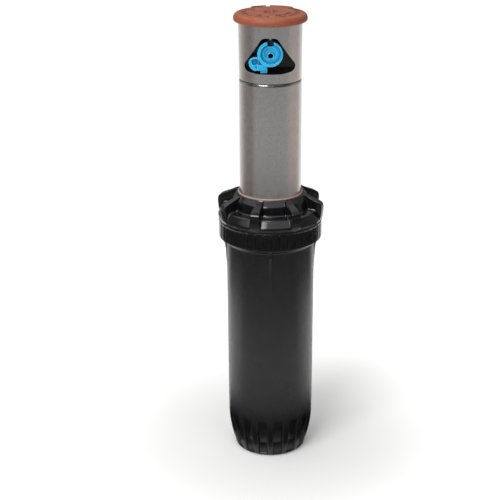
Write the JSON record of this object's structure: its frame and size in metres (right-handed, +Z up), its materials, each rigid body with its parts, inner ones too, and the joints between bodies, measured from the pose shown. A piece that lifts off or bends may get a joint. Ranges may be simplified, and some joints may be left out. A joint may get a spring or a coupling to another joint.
{
  "type": "pop up sprinkler",
  "caption": "Gear-driven pop-up rotor sprinkler shown popped up: fluted case with threaded inlet, finned screw cap, steel-sleeved riser and turret, blue nozzle, rubber cover.",
  "frame": {"origin": "centre of the inlet's end face, on the main axis", "axes": "+Z up along the riser, the nozzle faces -Y"},
  "size_m": [0.0802, 0.0802, 0.3482],
  "materials": {
    "cap_plastic": "moulded gloss black",
    "case_plastic": "satin charcoal black, ultraviolet resistant",
    "stainless_tube": "drawn stainless tube, lightly brushed",
    "cover_rubber": "moulded terracotta rubber",
    "wiper_rubber": "pale terracotta rubber",
    "nozzle_plastic": "light blue moulded plastic",
    "inner_black": "moulded black",
    "inner_grey": "moulded grey",
    "acetal_white": "natural acetal",
    "filter_plastic": "moulded dark grey",
    "steel_pins": "ground stainless",
    "spring_steel": "drawn stainless wire",
    "seal_rubber": "black nitrile rubber"
  },
  "bodies": {
    "case": {"case": "case_plastic", "body_cap": "cap_plastic", "cap_o_ring": "seal_rubber", "wiper_seal": "wiper_rubber", "retraction_spring": "spring_steel"},
    "ratchet": {"ratchet_ring": "inner_black"},
    "riser": {"riser_tube": "inner_black", "riser_sleeve": "stainless_tube", "filter_screen": "filter_plastic", "drain_seal": "seal_rubber", "seal_retainer": "acetal_white", "stator": "inner_grey", "bypass_spring": "spring_steel", "gear_housing": "inner_grey", "gear_housing_cover": "inner_grey", "gear_pin": "steel_pins", "bearing_plate": "inner_black", "thrust_washer": "acetal_white"},
    "bypass_valve": {"bypass_poppet": "acetal_white"},
    "port_selector": {"port_plate": "inner_grey"},
    "trip": {"trip_rod": "steel_pins", "trip_crank": "acetal_white", "trip_lever": "acetal_white"},
    "turbine": {"turbine_rotor": "acetal_white", "turbine_shaft": "steel_pins", "turbine_pinion": "acetal_white"},
    "cluster_1": {"cluster_gear_1": "acetal_white"},
    "cluster_2": {"cluster_gear_2": "acetal_white"},
    "cluster_3": {"cluster_gear_3": "acetal_white"},
    "turret": {"output_gear": "acetal_white", "output_shaft": "inner_grey", "drive_spider": "inner_grey", "stem_retainer": "acetal_white", "turret_housing": "inner_black", "turret_sleeve": "stainless_tube", "nozzle": "nozzle_plastic", "rubber_cover": "cover_rubber"},
    "radius_screw": {"radius_screw": "steel_pins"},
    "arc_adjuster": {"arc_shaft": "steel_pins", "arc_pinion": "acetal_white"},
    "arc_setting": {"arc_ring": "acetal_white"}
  },
  "joints": [
    {"name": "riser_slide", "type": "slide", "parent": "case", "child": "ratchet", "axis": [0, 0, 1], "range_m": [-0.1255, 0], "deforming": ["retraction_spring"]},
    {"name": "riser_turn", "type": "hinge", "parent": "ratchet", "child": "riser", "pos_m": [0, 0, 0.177], "axis": [0, 0, 1], "continuous": true},
    {"name": "turret_turn", "type": "hinge", "parent": "riser", "child": "turret", "pos_m": [0, 0, 0.2995], "axis": [0, 0, 1], "continuous": true},
    {"name": "turbine_spin", "type": "hinge", "parent": "riser", "child": "turbine", "pos_m": [0, 0, 0.218], "axis": [0, 0, 1], "continuous": true},
    {"name": "cluster_1_spin", "type": "hinge", "parent": "riser", "child": "cluster_1", "pos_m": [0.008, 0, 0.23], "axis": [0, 0, 1], "continuous": true},
    {"name": "cluster_2_spin", "type": "hinge", "parent": "riser", "child": "cluster_2", "pos_m": [0, 0, 0.234], "axis": [0, 0, 1], "continuous": true},
    {"name": "cluster_3_spin", "type": "hinge", "parent": "riser", "child": "cluster_3", "pos_m": [0.008, 0, 0.237], "axis": [0, 0, 1], "continuous": true},
    {"name": "bypass_lift", "type": "slide", "parent": "riser", "child": "bypass_valve", "axis": [0, 0, 1], "range_m": [0, 0.0025], "stiffness_N_per_m": 150, "springref_m": -0.003, "deforming": ["bypass_spring"]},
    {"name": "trip_toggle", "type": "hinge", "parent": "riser", "child": "trip", "pos_m": [0.0182, 0, 0.247], "axis": [0, 0, 1], "range_deg": [-12, 12]},
    {"name": "port_swing", "type": "hinge", "parent": "riser", "child": "port_selector", "pos_m": [0, 0, 0.21], "axis": [0, 0, 1], "range_deg": [-3.6, 3.6]},
    {"name": "radius_screw_turn", "type": "hinge", "parent": "turret", "child": "radius_screw", "pos_m": [0, -0.0184, 0.341], "axis": [0, 0, 1], "range_deg": [-3240, 0]},
    {"name": "arc_adjust", "type": "hinge", "parent": "turret", "child": "arc_adjuster", "pos_m": [-0.01061, 0.01061, 0.312], "axis": [0, 0, 1], "range_deg": [0, 1260]},
    {"name": "arc_ring_turn", "type": "hinge", "parent": "turret", "child": "arc_setting", "pos_m": [0, 0, 0.287], "axis": [0, 0, 1], "range_deg": [-315, 0]}
  ],
  "couplings": [
    {"joint": "turbine_spin", "follows": "turret_turn", "ratio": 81},
    {"joint": "cluster_1_spin", "follows": "turret_turn", "ratio": -27},
    {"joint": "cluster_2_spin", "follows": "turret_turn", "ratio": 9},
    {"joint": "cluster_3_spin", "follows": "turret_turn", "ratio": -3},
    {"joint": "port_swing", "follows": "trip_toggle", "ratio": -0.2817},
    {"joint": "arc_ring_turn", "follows": "arc_adjust", "ratio": -0.25}
  ]
}
